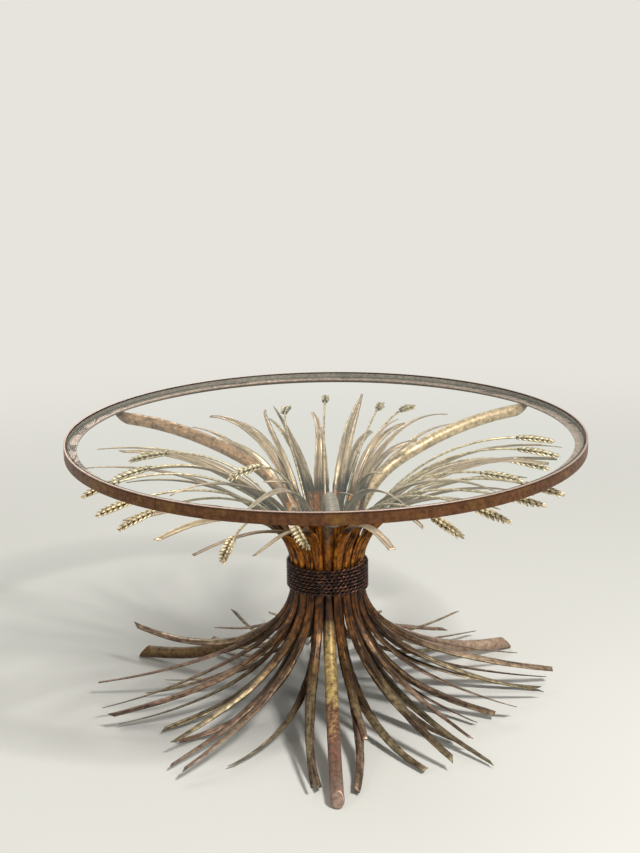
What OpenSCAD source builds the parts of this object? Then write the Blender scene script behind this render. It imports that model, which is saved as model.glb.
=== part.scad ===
// Wheat sheaf coffee table: a round glass in a rolled steel rim, on three bent tube posts that stand
// in a sheaf of creased sheet-metal leaves and wheat stalks, bound at the waist by a wound wire rope.
// The front of the table is on -Y, the floor is z = 0, and the axis of the table is the Z axis.

/* [Top] */
// Diameter of the glass disc
glass_d = 762; // [720:1:800]
// Thickness of the glass disc
glass_t = 8; // [6:0.5:10]
// Gap between the edge of the glass and the rim
glass_gap = 2; // [1:0.5:4]
// How far the glass lies below the upper edge of the rim
glass_drop = 0.5; // [0:0.1:2]

/* [Rim] */
// Height of the table, from the floor to the upper edge of the rim
table_h = 430; // [425:1:440]
// Height of the rim's upright band
rim_h = 18; // [16:1:24]
// Thickness of the rim's upright band
rim_t = 3; // [2:0.5:5]
// Width of the ledge that carries the glass
ledge_w = 16; // [10:1:20]
// Thickness of the ledge that carries the glass
ledge_t = 3; // [2:0.5:4]

/* [Posts] */
// Outer diameter of the post tube
post_d = 19; // [17:0.5:20]
// Wall of the post tube
post_wall = 1.5; // [1:0.5:3]
// Distance from the table's axis to a post's middle at the waist
post_waist_r = 42.5; // [42:0.5:44]
// Distance from the table's axis to the toe of a post
post_toe_r = 358; // [340:1:364]
// Angle at which the toe of a post is cut, from its own length
toe_bevel = 45; // [35:1:60]
// Angle at which the upper end of a post is cut, from its own length
end_bevel = 35; // [30:1:60]
// Thickness of the plates that close the toes
plate_t = 1.5; // [1:0.5:3]
// Bend radius of a post just above the waist
post_top_bend_r = 145; // [130:1:150]
// Turn of the bend just above the waist
post_top_bend = 68; // [64:1:70]
// Radius of the long sweep up to the rim
post_top_sweep_r = 600; // [500:10:650]
// Rise of a post where it meets the rim
post_top_slope = 1; // [0:0.5:3]
// Bend radius of a post just below the waist
post_low_bend_r = 90; // [80:1:100]
// Turn of the bend just below the waist
post_low_bend = 48; // [44:1:50]
// Radius of the long sweep down to the toe
post_low_sweep_r = 430; // [400:10:460]
// Fall of a post where it meets the floor
post_low_slope = 7; // [5:0.5:9]

/* [Waist] */
// Height of the middle of the binding above the floor
waist_z = 209; // [205:1:216]
// Height of the hoop inside the binding
hoop_h = 38; // [36:1:41]
// Thickness of the hoop
hoop_t = 2.5; // [2:0.5:4]
// Gap left between neighbours in the bundle
seat_gap = 0.4; // [0.3:0.1:0.6]

/* [Binding rope] */
// Diameter of the wire rope
rope_d = 4.8; // [4.2:0.1:5.2]
// Number of turns round the waist
rope_turns = 8; // [6:1:9]
// Gap between one turn and the next
rope_gap = 0.45; // [0.45:0.05:0.8]
// How far the free upper end climbs above its turn
rope_end_rise = 7; // [0:1:10]
// How far the free upper end springs out from the bundle as it climbs
rope_end_spring = 2; // [0:0.5:5]

/* [Leaves] */
// Width of a leaf at the waist
leaf_waist_w = 12.6; // [10:0.2:13]
// Width that a leaf gains between the waist and its tips
leaf_swell = 4.5; // [2:0.5:6]
// Width of a leaf's tip
leaf_tip_w = 6; // [3:0.2:7]
// Height of the crease along the middle of a leaf at the waist
leaf_crease = 2.4; // [2:0.1:3]
// How much deeper the crease is half-way from the waist to a tip
crease_gain = 2.6; // [0:0.2:3]
// Thickness of the sheet at the crease
leaf_t = 1.6; // [1:0.1:2]
// Most that a leaf is twisted at its tips
leaf_twist = 28; // [0:1:30]

// How much narrower the inner leaves are than the outer ones
inner_narrow = 1; // [0:0.2:3]
// How much narrower the centre leaves are than the outer ones
centre_narrow = 3; // [2:0.2:5]

/* [Wheat] */
// Diameter of a wheat stalk
stalk_d = 3.5; // [3:0.1:3.6]
// Length of an ear of wheat
ear_l = 64; // [50:1:70]
// Width of an ear of wheat
ear_w = 12; // [9:0.5:14]
// Thickness of an ear of wheat
ear_t = 8; // [6:0.5:10]

/* [Hidden] */
// Azimuths of the three posts: 0 is +X, and -90 is the front
post_turns = [-88, 32, 152];
post_names = ["front", "right", "left"];

// Outer leaves stand in 24 places round the waist, and each post takes the place of one of them
outer_places = 24;
outer_pitch = 360 / outer_places;
outer_slots = [for (i = [1:outer_places - 1]) if (i % (outer_places / 3) != 0) i];

// One row for each outer leaf: its foot's turn, reach and height, then its head's turn, its reach and how
// far it ends below the rim's upper edge; a last value is the knee of a foot that dips and curls up
outer_rows = [
    [-3, 215, 30, 0, 305, 85],
    [3, 310, 16, -6, 300, 64],
    [-1, 286, 24, 1, 320, 55],
    [11, 296, 22, -2, 335, 52],
    [10, 335, 16, 6, 300, 64],
    [5, 356, 24, -2, 345, 48],
    [3, 326, 22, -5, 340, 45],
    [-10, 262, 77, -2, 300, 48, -8],
    [-15, 290, 24, -2, 260, 50],
    [-4, 320, 20, -2, 300, 80],
    [3, 300, 34, 3, 280, 46],
    [2, 335, 18, 1, 320, 60],
    [4, 273, 61, 0, 290, 46, -42],
    [-1, 262, 44, -2, 310, 52],
    [-9, 345, 75, -1, 330, 50, 0],
    [-4, 360, 22, 0, 362, 52],
    [-5, 350, 20, -2, 300, 55],
    [-14, 346, 24, 5, 345, 72],
    [-6, 300, 22, 4, 358, 74],
    [-9, 340, 16, -5, 330, 98],
    [9, 318, 14, -6, 292, 98],
];

// One row for each inner leaf, four between each two posts, in the same order of values, but that a last
// value is the arch of a head that stands up straight
inner_turns = [18, 46, 74, 102];
inner_rows = [
    [-13, 322, 8, 4, 270, 40],
    [-4, 340, 8, 4, 300, 38],
    [-5, 264, 10, 4, 330, 38],
    [-6, 348, 8, -5, 366, 46],
    [-6, 340, 9, -4, 280, 30],
    [0, 320, 8, 2, 346, 28, -25],
    [4, 280, 8, 2, 276, 28, -50],
    [-2, 300, 8, 0, 270, 28],
    [10, 288, 10, 2, 354, 39],
    [0, 330, 8, -9, 269, 46],
    [1, 330, 8, -4, 290, 38],
    [14, 312, 8, -6, 270, 38],
];

// One row for each centre leaf: the inner leaf that it nests in, its turn, its reach and how far it ends
// below the rim's upper edge
centre_rows = [
    [0, 6, 84, 78],
    [1, 2, 112, 46],
    [3, 6, 150, 30],
    [4, 5, 200, 26],
    [5, 1, 300, 23],
    [6, -14, 107, 26],
    [7, -20, 240, 24],
    [8, -8, 180, 26],
    [10, -10, 110, 58],
];

// One row for each skirt leaf: the inner leaf that it nests in, its turn, its reach and height
skirt_rows = [
    [0, 8, 290, 7],
    [1, 0, 250, 7],
    [2, -12, 246, 7],
    [3, -12, 332, 7],
    [4, -8, 270, 7],
    [5, -12, 300, 7],
    [6, -7, 258, 7],
    [7, 4, 257, 7],
    [8, -2, 268, 7],
    [9, 9, 280, 7],
    [10, -10, 270, 7],
    [11, -14, 280, 7],
];

// One row for each wheat stalk: the post before it, its place from there, its turn, its reach and how far
// it ends below the rim's upper edge
wheat_rows = [
    [0, 27.8, 4, 329, 75],
    [0, 32, 9, 362, 58],
    [0, 36.2, 18, 364, 55],
    [0, 57.5, 4, 372, 52],
    [0, 62.5, 12, 294, 60],
    [0, 83.8, -4, 331, 50],
    [0, 88, -1, 347, 42],
    [0, 92.2, 4, 351, 35],
    [2, 27.8, -1, 294, 45],
    [2, 32, 9, 319, 52],
    [2, 36.2, 14, 372, 55],
    [2, 57.5, 2, 372, 65],
    [2, 62.5, 4, 362, 75],
    [2, 83.8, -14, 185, 36],
    [2, 88, 9, 370, 80],
    [2, 92.2, 22, 312, 75],
];

// The four stalks that stand nearly upright at the back, in the same order of values
upright_rows = [
    [1, 28, 2.5, 315, 36],
    [1, 32, 9, 312, 36],
    [1, 60, -2, 353, 36],
    [1, 88, -18, 289, 36],
];

// How far each kind of leaf or stalk runs on nearly straight past the waist before it bends out
outer_foot_run = 75;
inner_foot_run = 105;
skirt_foot_run = 112;
outer_head_run = 70;
inner_head_run = 90;
centre_head_run = 110;
stalk_run = 95;

// How high the feet stay at the knee of their bend, and how far the heads lean out before they bend
outer_knee = 54;
inner_knee = 18;
skirt_knee = 9;
head_lean = 1;

// How far each kind arches above the height of its head before it drops to its tip
outer_arch = 18;
inner_arch = 30;
centre_arch = 4;
stalk_arch = 50;
upright_arch = 35;

// How far the skirt leaves and the centre leaves reach into the binding from below and from above
nest_hold = 17;

// Steps along each half of a leaf, along a stalk and along an ear
leaf_steps = 10;
stalk_steps = 9;
ear_rows = 5;
stalk_sides = 5;
post_sides = 14;
bend_steps = 7;
sweep_steps = 5;
rope_steps = 24;
rope_sides = 6;

// Rim and glass
rim_r = glass_d / 2 + glass_gap + rim_t;
band_r = rim_r - rim_t;
glass_z = table_h - glass_drop - glass_t;
ledge_z = glass_z - ledge_t;

// Waist
hoop_low = waist_z - hoop_h / 2;
hoop_top = waist_z + hoop_h / 2;
hoop_in = post_waist_r + post_d / 2;
hoop_r = hoop_in + hoop_t;
outer_r = hoop_r;
inner_r = hoop_in - seat_gap - leaf_crease;
nest_r = inner_r - leaf_t - seat_gap;
stalk_r = hoop_in - seat_gap - stalk_d / 2;
rope_r = (outer_r + leaf_crease + seat_gap + rope_d / 2) / cos(180 / rope_steps);
rope_pitch = rope_d + rope_gap;

// Post bends: the straight ends are as long as their reach leaves, and the waist is straight between
post_r = post_d / 2;
post_end_z = ledge_z - post_r * cos(post_top_slope) - post_r * sin(post_top_slope) / tan(end_bevel);
toe_z = post_r * cos(post_low_slope) + post_r * sin(post_low_slope) / tan(toe_bevel);

function straight(reach, bend_r, bend, sweep_r, slope) =
    (reach - post_waist_r - bend_r * (1 - cos(bend)) - sweep_r * (cos(bend) - sin(slope))) / cos(slope);

function climb(length, bend_r, bend, sweep_r, slope) =
    bend_r * sin(bend) + sweep_r * (cos(slope) - sin(bend)) + length * sin(slope);

post_top_reach = sqrt(band_r * band_r - post_r * post_r) - post_r / tan(end_bevel);
post_low_reach = post_toe_r - post_r / tan(toe_bevel);
post_top_l = straight(post_top_reach, post_top_bend_r, post_top_bend, post_top_sweep_r, post_top_slope);
post_low_l = straight(post_low_reach, post_low_bend_r, post_low_bend, post_low_sweep_r, post_low_slope);
post_top_z = post_end_z - climb(post_top_l, post_top_bend_r, post_top_bend, post_top_sweep_r, post_top_slope);
post_low_z = toe_z + climb(post_low_l, post_low_bend_r, post_low_bend, post_low_sweep_r, post_low_slope);

// Curves of the leaves and stalks, each from the waist outwards as four points of radius and height
function foot_curve(r, run, knee, reach, height) = [
    [r, hoop_low],
    [r, hoop_low - run],
    [reach * 0.44, height * 0.5 + knee],
    [reach, height],
];

function head_curve(r, run, reach, drop, arch) = [
    [r, hoop_top],
    [r + head_lean, hoop_top + run],
    [reach * 0.52, table_h - drop + arch],
    [reach, table_h - drop],
];

function bezier(c, t) =
    c[0] * pow(1 - t, 3) + c[1] * 3 * t * pow(1 - t, 2) + c[2] * 3 * t * t * (1 - t) + c[3] * pow(t, 3);

function bezier_slope(c, t) =
    (c[1] - c[0]) * pow(1 - t, 2) + (c[2] - c[1]) * 2 * t * (1 - t) + (c[3] - c[2]) * t * t;

function unit(v) = v / norm(v);

// A point at a radius and height, with the directions along the rim and away from the sheaf there
function place(turn, p) = [p[0] * cos(turn), p[0] * sin(turn), p[1]];
function across(turn) = [-sin(turn), cos(turn), 0];
function away(turn, slope, down) =
    let (s = unit(slope) * (down ? -1 : 1))
    [s[1] * cos(turn), s[1] * sin(turn), -s[0]];

// Width of a leaf at a share of the way from the waist to its tip
function leaf_width(t, waist_w) =
    leaf_tip_w + (waist_w - leaf_tip_w) * (1 - t * t) + leaf_swell * 4 * t * (1 - t);

// Four corners of a leaf's section: edge, crease outside, edge, crease inside
function leaf_ring(curve, t, turn, drift, twist, down, waist_w) =
    let (
        a = turn + drift * t * t,
        p = place(a, bezier(curve, t)),
        n = away(a, bezier_slope(curve, t), down),
        side = across(a) * cos(twist * t) + n * sin(twist * t),
        up = n * cos(twist * t) - across(a) * sin(twist * t),
        w = leaf_width(t, waist_w) / 2,
        c = leaf_crease * (1 - t * 0.15) + crease_gain * 4 * t * (1 - t)
    )
    [p - side * w, p + up * c, p + side * w, p + up * (c - leaf_t)];

// A closed solid through rings of points that all have the same number of corners
module sweep(rings) {
    n = len(rings[0]);
    m = len(rings);
    points = [for (ring = rings) each ring];
    sides = [for (i = [0:m - 2], j = [0:n - 1]) let (k = (j + 1) % n)
        each [[i * n + j, (i + 1) * n + k, i * n + k], [i * n + j, (i + 1) * n + j, (i + 1) * n + k]]];
    low_cap = [for (j = [2:n - 1]) [1, j, (j + 1) % n]];
    top_cap = [for (j = [2:n - 1]) [(m - 1) * n + 1, (m - 1) * n + (j + 1) % n, (m - 1) * n + j]];
    polyhedron(points, concat(low_cap, sides, top_cap));
}

module glass_top() {
    color("lightcyan", 0.4)
    translate([0, 0, glass_z])
    cylinder(d = glass_d, h = glass_t, $fn = 180);
}

// A rolled T section: the band stands upright, and the glass lies on the ledge inside it
module rim_band() {
    color("sienna")
    rotate_extrude($fn = 180) {
        translate([band_r, table_h - rim_h])
        square([rim_t, rim_h]);
        translate([band_r - ledge_w, ledge_z])
        square([ledge_w + rim_t / 2, ledge_t]);
    }
}

// One ring of a post's tube: its middle in radius and height, its way out from the sheaf, and its cut end
function post_ring(turn, p, out, r, cut, offset) =
    let (n = [out[0] * cos(turn), out[0] * sin(turn), out[1]], way = cross(n, across(turn)))
    [for (j = [0:post_sides - 1]) let (b = j * 360 / post_sides, h = r * cos(b))
        place(turn, p) + n * h + across(turn) * r * sin(b) + way * (cut * h + offset)];

// Half a post, from the waist outwards: radius, height and lean of each ring past the straight waist
function post_half(bend_r, bend, sweep_r, slope, length) =
    let (
        sweep = 90 - slope - bend,
        leans = [
            for (i = [0:bend_steps]) bend * i / bend_steps,
            for (i = [1:sweep_steps]) bend + sweep * i / sweep_steps
        ],
        ends = [for (a = leans) a <= bend
            ? [bend_r * (1 - cos(a)), bend_r * sin(a), a]
            : [
                bend_r * (1 - cos(bend)) + sweep_r * (cos(bend) - cos(a)),
                bend_r * sin(bend) + sweep_r * (sin(a) - sin(bend)),
                a
            ]],
        last = ends[len(ends) - 1]
    )
    concat(ends, [[last[0] + length * cos(slope), last[1] + length * sin(slope), last[2]]]);

post_top = post_half(post_top_bend_r, post_top_bend, post_top_sweep_r, post_top_slope, post_top_l);
post_low = post_half(post_low_bend_r, post_low_bend, post_low_sweep_r, post_low_slope, post_low_l);
toe_cut = 1 / tan(toe_bevel);
plate_l = plate_t / sin(toe_bevel);

// The ring of a post at its toe, moved back along the post by an offset
function toe_ring(turn, r, offset) =
    let (h = post_low[len(post_low) - 1])
    post_ring(turn, [post_waist_r + h[0], post_low_z - h[1]], [cos(h[2]), sin(h[2])], r, toe_cut, offset);

function post_rings(turn, r) = [
    toe_ring(turn, r, plate_l),
    for (i = [len(post_low) - 2:-1:0]) let (h = post_low[i])
        post_ring(turn, [post_waist_r + h[0], post_low_z - h[1]], [cos(h[2]), sin(h[2])], r, 0, 0),
    for (i = [0:len(post_top) - 1]) let (
        h = post_top[i],
        cut = i == len(post_top) - 1 ? -1 / tan(end_bevel) : 0
    ) post_ring(turn, [post_waist_r + h[0], post_top_z + h[1]], [cos(h[2]), -sin(h[2])], r, cut, 0)
];

// A tube through two matching sets of rings, outside and inside, with its ends open
module tube(outside, inside) {
    n = len(outside[0]);
    m = len(outside);
    inner = n * m;
    points = [for (ring = outside) each ring, for (ring = inside) each ring];
    walls = [for (i = [0:m - 2], j = [0:n - 1]) let (k = (j + 1) % n, a = i * n + j, b = i * n + k) each [
        [a, b + n, b], [a, a + n, b + n],
        [inner + a, inner + b, inner + b + n], [inner + a, inner + b + n, inner + a + n]
    ]];
    ends = [for (j = [0:n - 1]) let (k = (j + 1) % n, a = (m - 1) * n) each [
        [j, k, inner + k], [j, inner + k, inner + j],
        [a + j, inner + a + k, a + k], [a + j, inner + a + j, inner + a + k]
    ]];
    polyhedron(points, concat(walls, ends));
}

module post(turn) {
    color("goldenrod")
    tube(post_rings(turn, post_r), post_rings(turn, post_r - post_wall));
}

// The plates that close the toes of the posts are brazed on
module toe_plate(turn) {
    color("saddlebrown")
    sweep([toe_ring(turn, post_r, 0), toe_ring(turn, post_r, plate_l)]);
}

module waist_hoop() {
    color("dimgray")
    translate([0, 0, hoop_low])
    difference() {
        cylinder(r = hoop_r, h = hoop_h, $fn = 120);
        translate([0, 0, -1])
        cylinder(r = hoop_in, h = hoop_h + 2, $fn = 120);
    }
}

// A leaf that runs from its foot in the skirt, through the binding, to its head under the glass
module leaf(turn, foot, head, row, number, waist_w) {
    twist = leaf_twist * sin(number * 97);
    rings = [
        for (i = [leaf_steps:-1:0]) leaf_ring(foot, i / leaf_steps, turn, row[0], twist, true, waist_w),
        for (i = [0:leaf_steps]) leaf_ring(head, i / leaf_steps, turn, row[3], -twist, false, waist_w)
    ];
    sweep(rings);
}

// A row's last value where it has one of its own, or else the one that its kind shares
function own(row, shared) = len(row) > 6 ? row[6] : shared;

module outer_leaf(i) {
    row = outer_rows[i];
    color("darkgoldenrod")
    leaf(post_turns[0] + outer_pitch * outer_slots[i],
        foot_curve(outer_r, outer_foot_run, own(row, outer_knee), row[1], row[2]),
        head_curve(outer_r, outer_head_run, row[4], row[5], outer_arch), row, i, leaf_waist_w);
}

function inner_turn(i) = post_turns[floor(i / 4)] + inner_turns[i % 4];

module inner_leaf(i) {
    row = inner_rows[i];
    color("peru")
    leaf(inner_turn(i),
        foot_curve(inner_r, inner_foot_run, inner_knee, row[1], row[2]),
        head_curve(inner_r, inner_head_run, row[4], row[5], own(row, inner_arch)),
        row, i + 3, leaf_waist_w - inner_narrow);
}

module centre_leaf(row) {
    curve = head_curve(nest_r, centre_head_run, row[2], row[3], centre_arch);
    turn = inner_turn(row[0]);
    w = leaf_waist_w - centre_narrow;
    color("darkkhaki")
    sweep([
        leaf_ring([for (p = curve) [p[0], p[1] - nest_hold]], 0, turn, 0, 0, false, w),
        for (i = [0:leaf_steps]) leaf_ring(curve, i / leaf_steps, turn, row[1], 0, false, w)
    ]);
}

module skirt_leaf(row) {
    curve = foot_curve(nest_r, skirt_foot_run, skirt_knee, row[2], row[3]);
    turn = inner_turn(row[0]);
    w = leaf_waist_w - centre_narrow;
    twist = leaf_twist * sin(row[0] * 61);
    color("saddlebrown")
    sweep([
        for (i = [leaf_steps - 1:-1:0]) leaf_ring(curve, i / (leaf_steps - 1), turn, row[1], twist, true, w),
        leaf_ring([for (p = curve) [p[0], p[1] + nest_hold]], 0, turn, 0, 0, true, w)
    ]);
}

// One ring of a stalk or ear, with its half width and half thickness
function stalk_ring(curve, t, turn, drift, w, h) =
    let (
        a = turn + drift * t * t,
        p = place(a, bezier(curve, t)),
        n = away(a, bezier_slope(curve, t), false)
    )
    [for (j = [0:stalk_sides - 1]) let (b = j * 360 / stalk_sides)
        p + across(a) * w * sin(b) + n * h * cos(b)];

// Fullness of an ear at a share of its length: round at the base and pointed at the tip
function ear_full(s) = pow(sin(180 * pow(s, 0.6)), 0.6);

// A wheat stalk from the foot of the binding up, with its ear brazed on; the ear steps in under each row
module wheat(row, curve) {
    turn = post_turns[row[0]] + row[1];
    ear_t0 = 1 - ear_l / (3 * norm(curve[3] - curve[2]));
    r = stalk_d / 2;
    color("tan")
    sweep([
        stalk_ring([for (p = curve) [p[0], p[1] - hoop_h]], 0, turn, 0, r, r),
        for (i = [0:stalk_steps]) stalk_ring(curve, ear_t0 * i / stalk_steps, turn, row[2], r, r),
        for (i = [1:ear_rows * 2]) let (
            s = i / (ear_rows * 2 + 0.5),
            full = ear_full(s) * (i % 2 == 0 ? 0.78 : 1)
        ) stalk_ring(curve, ear_t0 + (1 - ear_t0) * s, turn, row[2], r / 2 + (ear_w - r) / 2 * full,
            r / 2 + (ear_t - r) / 2 * full)
    ]);
}

module wheat_stalk(i) {
    row = wheat_rows[i];
    wheat(row, head_curve(stalk_r, stalk_run, row[3], row[4], stalk_arch));
}

module upright_stalk(row) {
    wheat(row, head_curve(stalk_r, stalk_run, row[3], row[4], upright_arch));
}

// The rope is one unbroken coil. Its upper end climbs, springs out and stands free; both ends run straight
rope_start = -20;
rope_z0 = waist_z - rope_turns * rope_pitch / 2;
function rope_rise(a) = pow(max(0, a / 45 - (rope_turns * 8 - 1)), 2);
function rope_reach(a) = rope_r + rope_end_spring * rope_rise(a);
function rope_point(a) = [
    rope_reach(a) * cos(a + rope_start),
    rope_reach(a) * sin(a + rope_start),
    rope_z0 + rope_pitch * a / 360 + rope_end_rise * rope_rise(a),
];
function rope_way(a) = unit(rope_point(a + 0.5) - rope_point(a - 0.5));
function rope_ring(p, way) =
    let (
        out = unit([p[0], p[1], 0]),
        up = cross(way, out)
    )
    [for (j = [0:rope_sides - 1]) let (b = j * 360 / rope_sides)
        p + (out * cos(b) + up * sin(b)) * rope_d / 2];

rope_last = rope_turns * 360;
rope_points = [
    rope_point(0) - rope_way(0) * rope_d,
    for (i = [0:rope_turns * rope_steps]) rope_point(i * 360 / rope_steps),
    rope_point(rope_last) + rope_way(rope_last) * rope_d,
];
rope_ways = [
    rope_way(0),
    for (i = [0:rope_turns * rope_steps]) rope_way(i * 360 / rope_steps),
    rope_way(rope_last),
];

// Least gap of the rope to itself: a turn apart is near, and anything less is the same stretch
rope_least_gap = min([
    for (i = [0:len(rope_points) - 1], j = [i + rope_steps - 3:min(len(rope_points) - 1, i + rope_steps + 3)])
        norm(rope_points[i] - rope_points[j])
]) - rope_d;
echo(rope_least_gap = rope_least_gap);

module binding_rope() {
    color("saddlebrown")
    sweep([for (i = [0:len(rope_points) - 1]) rope_ring(rope_points[i], rope_ways[i])]);
}

function numbered(name, count) = [for (i = [1:count]) str(name, i < 10 ? "_0" : "_", i)];
outer_names = numbered("outer_leaf", len(outer_rows));
inner_names = numbered("inner_leaf", len(inner_rows));
wheat_names = numbered("wheat_stalk", len(wheat_rows));

glass_top();
rim_band();
for (i = [0:2]) post(post_turns[i]);
for (turn = post_turns) toe_plate(turn);  // toe_plates
waist_hoop();
binding_rope();
for (i = [0:len(outer_rows) - 1]) outer_leaf(i);
for (i = [0:len(inner_rows) - 1]) inner_leaf(i);
for (i = [0:len(wheat_rows) - 1]) wheat_stalk(i);
for (row = centre_rows) centre_leaf(row);  // centre_leaves
for (row = skirt_rows) skirt_leaf(row);  // skirt_leaves
for (row = upright_rows) upright_stalk(row);  // upright_stalks
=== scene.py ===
"""Wheat sheaf coffee table: the looks of a gilt sheaf of creased leaves and ears under a round glass."""

import math

import bpy
from mathutils import Matrix, Vector


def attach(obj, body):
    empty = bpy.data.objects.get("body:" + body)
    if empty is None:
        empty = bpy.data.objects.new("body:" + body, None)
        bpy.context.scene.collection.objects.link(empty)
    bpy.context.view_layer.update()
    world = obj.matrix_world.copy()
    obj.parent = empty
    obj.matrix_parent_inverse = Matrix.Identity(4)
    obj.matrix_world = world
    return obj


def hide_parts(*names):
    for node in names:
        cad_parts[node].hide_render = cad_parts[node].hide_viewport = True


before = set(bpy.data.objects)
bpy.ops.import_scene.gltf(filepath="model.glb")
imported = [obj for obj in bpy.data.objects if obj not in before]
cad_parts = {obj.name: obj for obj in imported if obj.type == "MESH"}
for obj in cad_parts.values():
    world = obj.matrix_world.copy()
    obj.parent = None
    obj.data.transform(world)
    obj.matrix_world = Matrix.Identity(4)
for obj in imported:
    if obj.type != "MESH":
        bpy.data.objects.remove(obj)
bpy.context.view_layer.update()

mm = 0.001

# Camera
# It stands a little right of the table's middle at a standing eye's height, looks slightly down and left,
# and leans by less than a degree, as a phone held by hand does.
eye = Vector((0.0181, -2.264, 1.049))
look_left = math.radians(0.66)
look_down = math.radians(15.13)
lean = math.radians(-0.84)
camera = bpy.data.objects.new("camera", bpy.data.cameras.new("camera"))
camera.data.sensor_width = 36
camera.data.lens = 66.55
camera.matrix_world = (
    Matrix.Translation(eye)
    @ Matrix.Rotation(look_left, 4, "Z")
    @ Matrix.Rotation(math.radians(90) - look_down, 4, "X")
    @ Matrix.Rotation(lean, 4, "Z")
)
bpy.context.scene.collection.objects.link(camera)
bpy.context.scene.camera = camera
bpy.context.scene.view_settings.view_transform = "Standard"


# Studio floor and light
# A plain pale floor of smooth plaster takes the table's shadow and fades into a pale backdrop. A soft lamp
# stands high on the right, a weaker one fills from the left, and a pale room is all around.
def linear(hex_colour):
    """The linear colour of an sRGB hex value."""
    shares = [int(hex_colour[i : i + 2], 16) / 255 for i in (1, 3, 5)]
    return [s / 12.92 if s <= 0.04045 else ((s + 0.055) / 1.055) ** 2.4 for s in shares] + [1.0]


def add(tree, kind, inputs=(), **settings):
    """A new node's outputs. A kind in capitals is what a Math node does, and one that doesn't say Node is a
    shader's. Its inputs are values and sockets, in order or by name."""
    if kind.isupper():
        kind, settings = "Math", {"operation": kind}
    node = tree.nodes.new(kind if "Node" in kind else "ShaderNode" + kind)
    for name, value in settings.items():
        setattr(node, name, value)
    for name, value in inputs.items() if isinstance(inputs, dict) else enumerate(inputs):
        if isinstance(value, bpy.types.NodeSocket):
            tree.links.new(value, node.inputs[name])
        else:
            node.inputs[name].default_value = value
    return node.outputs


def ranged(tree, value, old, new=(0.0, 1.0), **settings):
    """A value moved from its old range to a new one, and held within that."""
    return add(tree, "MapRange", [value, *old, *new], **settings)[0]


def blended(tree, kind, share, first, second):
    """Two numbers, vectors or colours, blended by the second one's share."""
    i = {"FLOAT": 2, "VECTOR": 4, "RGBA": 6}[kind]
    return add(tree, "Mix", {0: share, i: first, i + 1: second}, data_type=kind)[i // 2 - 1]


def vector_math(tree, operation, *inputs):
    """The vector that an operation on vectors gives, or its number where it measures them."""
    outputs = add(tree, "VectorMath", inputs, operation=operation)
    return outputs["Value" if operation in ("LENGTH", "DISTANCE") else "Vector"]


def new_finish(name, **values):
    """A new material and its tree and shader, with plain values set on the shader's sockets."""
    material = bpy.data.materials.new(name)
    material.use_nodes = True
    shader = material.node_tree.nodes["Principled BSDF"]
    for socket, value in values.items():
        shader.inputs[socket.replace("_", " ")].default_value = value
    return material, material.node_tree, shader


def new_piece(name, mesh):
    """A new object at the origin that shows a mesh."""
    piece = bpy.data.objects.new(name, mesh)
    bpy.context.scene.collection.objects.link(piece)
    return piece


def seen_share(tree):
    """1 for a ray by which the camera sees, straight, in a mirror or through glass, and 0 for light."""
    path = add(tree, "LightPath")
    seen = add(tree, "MAXIMUM", [path["Is Camera Ray"], path["Is Glossy Ray"]])
    return add(tree, "MAXIMUM", [seen[0], path["Is Transmission Ray"]])[0]


backdrop = linear("#e6e4dd")
floor_half = 30
fade_near = 0.75
fade_far = 2.4
floor_mesh = bpy.data.meshes.new("floor")
floor_points = [(x * floor_half, y * floor_half, 0) for x, y in ((-1, -1), (1, -1), (1, 1), (-1, 1))]
floor_mesh.from_pydata(floor_points, [], [(0, 1, 2, 3)])
floor = new_piece("floor", floor_mesh)
plaster, tree, shader = new_finish(
    "pale_plaster", Base_Color=linear("#d4d2ca"), Roughness=0.75, Specular_IOR_Level=0.2
)
spot = add(tree, "TexCoord")["Object"]
distance = vector_math(tree, "LENGTH", spot)
fade = ranged(tree, distance, (fade_near, fade_far), interpolation_type="SMOOTHSTEP")
share = add(tree, "MULTIPLY", [fade, seen_share(tree)])[0]
glow = add(tree, "Emission", {"Color": backdrop})
mixed = add(tree, "MixShader", [share, shader.outputs[0], glow[0]])
tree.links.new(mixed[0], tree.nodes["Material Output"].inputs["Surface"])
floor_mesh.materials.append(plaster)

room_light = 0.42
room = bpy.data.worlds.new("pale_room")
room.use_nodes = True
tree = room.node_tree
air = tree.nodes["Background"]
air.inputs["Color"].default_value = linear("#e6e8e6")
air.inputs["Strength"].default_value = room_light
view = add(tree, "Background", {"Color": backdrop})
mixed = add(tree, "MixShader", [seen_share(tree), air.outputs[0], view[0]])
tree.links.new(mixed[0], tree.nodes["World Output"].inputs["Surface"])
bpy.context.scene.world = room

lamp_aim = Vector((0, 0, 0.25))
for name, place, size, power in (
    ("key_lamp", (1.5, -1.5, 2.7), 0.6, 108),
    ("fill_lamp", (-2.4, -1.6, 1.6), 1.6, 14),
    ("back_lamp", (-0.6, 2.4, 2.2), 1.2, 22),
):
    lamp = bpy.data.lights.new(name, "AREA")
    lamp.shape = "DISK"
    lamp.size = size
    lamp.energy = power
    stand = bpy.data.objects.new(name, lamp)
    stand.location = place
    stand.rotation_euler = (lamp_aim - Vector(place)).to_track_quat("-Z", "Y").to_euler()
    bpy.context.scene.collection.objects.link(stand)

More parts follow.
